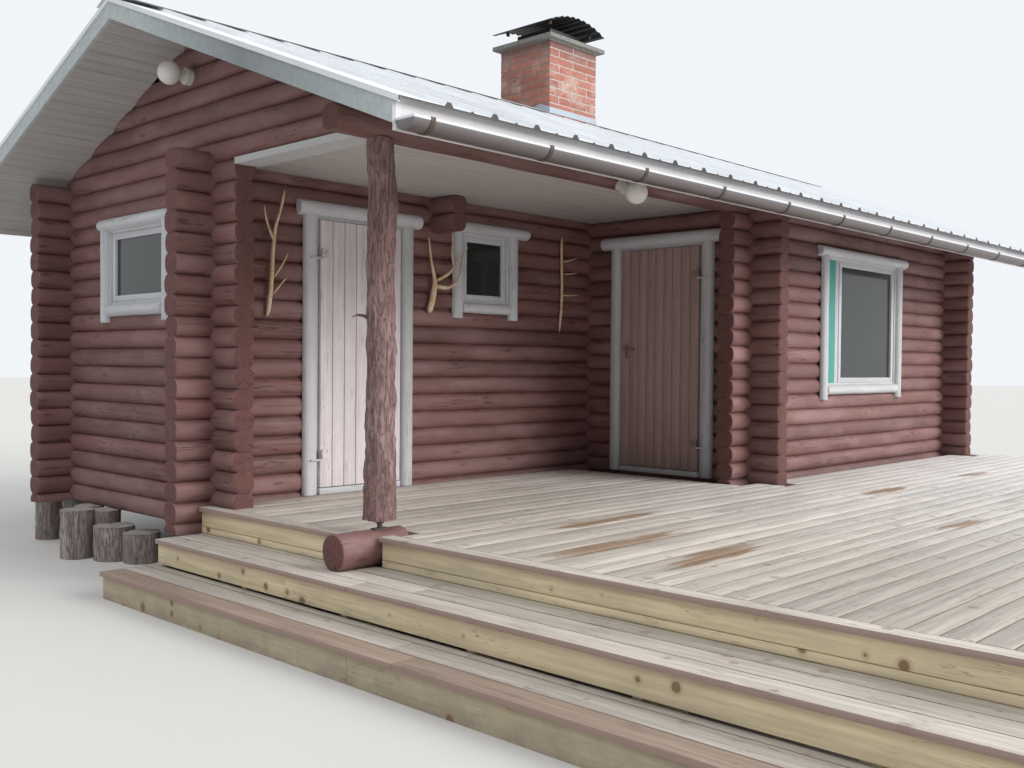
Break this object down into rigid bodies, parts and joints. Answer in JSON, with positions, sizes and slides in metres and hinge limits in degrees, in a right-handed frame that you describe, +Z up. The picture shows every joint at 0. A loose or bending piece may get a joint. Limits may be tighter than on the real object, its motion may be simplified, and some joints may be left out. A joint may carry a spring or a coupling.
{
  "type": "log cabin",
  "caption": "Round-log cabin with a recessed corner porch, low metal roof, brick chimney, plank terrace and long wooden steps.",
  "frame": {"origin": "Middle of the footprint's box, terrace included, at ground level.", "axes": "X runs along the eaves from the porch end to the right, Y runs from the terrace into the house, Z is up."},
  "size_m": [9.073, 8.45, 4.515],
  "materials": {
    "log": "dark red-brown stained logs, worn and checked",
    "bark": "bark with grey and brown patches",
    "casing": "pale bluish grey weathered paint",
    "left_door_paint": "pale pinkish worn paint",
    "right_door_paint": "pinkish brown worn boards",
    "trim": "white paint",
    "soffit": "grey painted boards",
    "floor_boards": "sawn boards",
    "deck": "weathered grey boards with damp patches",
    "riser_wood": "yellowed knotty pine",
    "roof_sheet": "pale grey coated steel, weathered",
    "gutter": "white coated steel, streaked",
    "flashing": "blue-grey sheet",
    "black_sheet": "black coated corrugated sheet",
    "iron": "dull dark iron with some rust",
    "brick": "fired clay brick with mortar joints and white bloom",
    "concrete": "rough grey concrete",
    "glass": "clear window glass",
    "vent": "teal green gauze",
    "lamp_plastic": "off-white lamp base",
    "globe": "opal white globe"
  },
  "bodies": {
    "cabin": {"gable_wall": "log", "gable_wall_infill": "log", "recess_wall": "log", "recess_wall_infill": "log", "side_wall": "log", "side_wall_infill": "log", "front_wall": "log", "front_wall_infill": "log", "right_gable_wall": "log", "back_wall": "log", "eaves_log": "log", "left_gable_top": "log", "right_gable_top": "log", "tie_beam": "log", "foundation_piers": "concrete", "foot_stumps": "bark", "floor": "floor_boards", "porch_ceiling": "soffit", "ceiling_trim": "trim", "post": "bark", "post_screw": "iron", "footing_log": "log", "deck_boards": "deck", "deck_joists": "riser_wood", "deck_legs": "riser_wood", "upper_riser": "riser_wood", "middle_riser": "riser_wood", "lower_riser": "riser_wood", "middle_tread": "deck", "lower_tread": "deck", "rim_boards": "riser_wood", "step_bearers": "riser_wood", "roof_body": "soffit", "front_roof_sheet": "roof_sheet", "back_roof_sheet": "roof_sheet", "ridge_cap": "roof_sheet", "rake_boards": "soffit", "fascias": "soffit", "gutter": "gutter", "gutter_straps": "gutter", "chimney": "brick", "chimney_slab": "concrete", "rain_cap": "black_sheet", "chimney_flashing": "flashing", "gable_window_frame": "casing", "small_window_frame": "casing", "front_window_frame": "casing", "window_glass": "glass", "vent_screen": "vent", "left_door_frame": "casing", "right_door_frame": "casing", "lamp_bases": "lamp_plastic", "lamp_globes": "globe"},
    "left_leaf": {"left_door": "left_door_paint", "left_door_fittings": "iron"},
    "right_leaf": {"right_door": "right_door_paint", "right_door_fittings": "iron"}
  },
  "joints": [
    {"name": "left_door_hinge", "type": "hinge", "parent": "cabin", "child": "left_leaf", "pos_m": [-3.0115, 1.147, 1.4685], "axis": [0, 0, 1], "range_deg": [-100, 0]},
    {"name": "right_door_hinge", "type": "hinge", "parent": "cabin", "child": "right_leaf", "pos_m": [-0.1195, 0.027, 1.4685], "axis": [0, 0, 1], "range_deg": [0, 100]}
  ]
}
